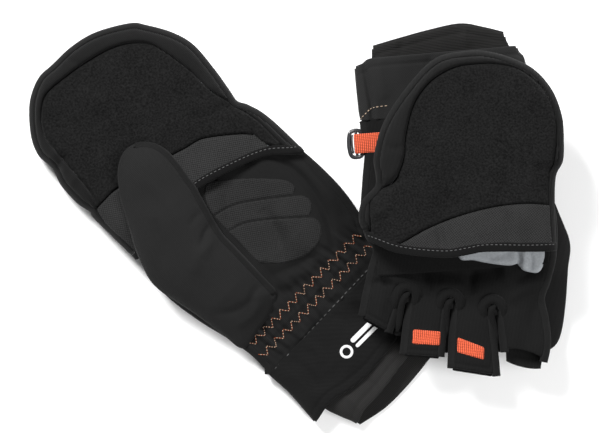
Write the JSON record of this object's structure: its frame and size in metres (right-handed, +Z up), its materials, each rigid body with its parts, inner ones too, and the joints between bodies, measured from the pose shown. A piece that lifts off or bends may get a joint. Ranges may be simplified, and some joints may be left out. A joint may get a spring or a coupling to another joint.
{
  "type": "convertible flip-top mittens",
  "caption": "Pair of black convertible flip-top mittens with fingerless gloves inside, long cuffs, thumb pouches and grip patches, one hood closed and one folded back.",
  "frame": {"origin": "centre of the pair's bounding box, at the floor", "axes": "+Z up, +X along the pair's longest extent, from the left mitten's hood towards the right mitten"},
  "size_m": [0.3442, 0.2617, 0.0621],
  "materials": {
    "softshell": "matte",
    "fleece": "matte",
    "binding": "matte",
    "lining": "satin",
    "grip_print": "matte",
    "bright_webbing": "satin",
    "elastic": "matte",
    "black_plastic": "satin",
    "magnet_steel": "satin"
  },
  "bodies": {
    "left_glove": {"left_back_panel": "softshell", "left_clip_loop": "bright_webbing", "left_cuff_magnet": "magnet_steel", "left_finger_tapes": "bright_webbing", "left_fourchette_index_middle": "softshell", "left_fourchette_middle_ring": "softshell", "left_fourchette_ring_little": "softshell", "left_inner_cuff": "softshell", "left_outer_cuff": "softshell", "left_palm_grip": "grip_print", "left_palm_panel": "softshell", "left_radial_gusset": "softshell", "left_thumb_back": "softshell", "left_thumb_front": "softshell", "left_thumb_gusset": "softshell", "left_ulnar_gusset": "softshell", "left_wrist_elastic": "elastic"},
    "left_hood": {"left_hood_back": "fleece", "left_hood_grip": "grip_print", "left_hood_hem": "binding", "left_hood_liner": "lining", "left_hood_magnet": "magnet_steel", "left_hood_palm": "fleece", "left_hood_rim": "fleece"},
    "right_glove": {"right_back_panel": "softshell", "right_clip_loop": "bright_webbing", "right_cuff_magnet": "magnet_steel", "right_finger_tapes": "bright_webbing", "right_fourchette_index_middle": "softshell", "right_fourchette_middle_ring": "softshell", "right_fourchette_ring_little": "softshell", "right_inner_cuff": "softshell", "right_outer_cuff": "softshell", "right_palm_grip": "grip_print", "right_palm_panel": "softshell", "right_radial_gusset": "softshell", "right_thumb_back": "softshell", "right_thumb_front": "softshell", "right_thumb_gusset": "softshell", "right_ulnar_gusset": "softshell", "right_wrist_elastic": "elastic"},
    "hook": {"right_clip_hook": "black_plastic"},
    "right_hood": {"right_hood_back": "fleece", "right_hood_grip": "grip_print", "right_hood_hem": "binding", "right_hood_liner": "lining", "right_hood_magnet": "magnet_steel", "right_hood_palm": "fleece", "right_hood_rim": "fleece"}
  },
  "joints": [
    {"name": "left_hood_fold", "type": "hinge", "parent": "left_glove", "child": "left_hood", "pos_m": [-0.0526, 0.0141, -0.0002], "axis": [-0.7071, -0.7071, 0], "range_deg": [0, 180], "deforming": ["left_hood_palm", "left_hood_hem", "left_hood_grip", "left_hood_liner"]},
    {"name": "right_lift", "type": "slide", "parent": "left_glove", "child": "right_glove", "axis": [0, 0, 1], "range_m": [0, 0.15]},
    {"name": "right_hood_fold", "type": "hinge", "parent": "right_glove", "child": "right_hood", "pos_m": [0.1046, -0.0272, 0.0402], "axis": [0.9976, 0.0698, 0], "range_deg": [0, 180], "deforming": ["right_hood_palm", "right_hood_hem", "right_hood_grip", "right_hood_liner"]},
    {"name": "hook_swing", "type": "hinge", "parent": "right_glove", "child": "hook", "pos_m": [0.04031, 0.05351, 0.02709], "axis": [0.0698, -0.9976, 0], "range_deg": [-70, 70]}
  ]
}
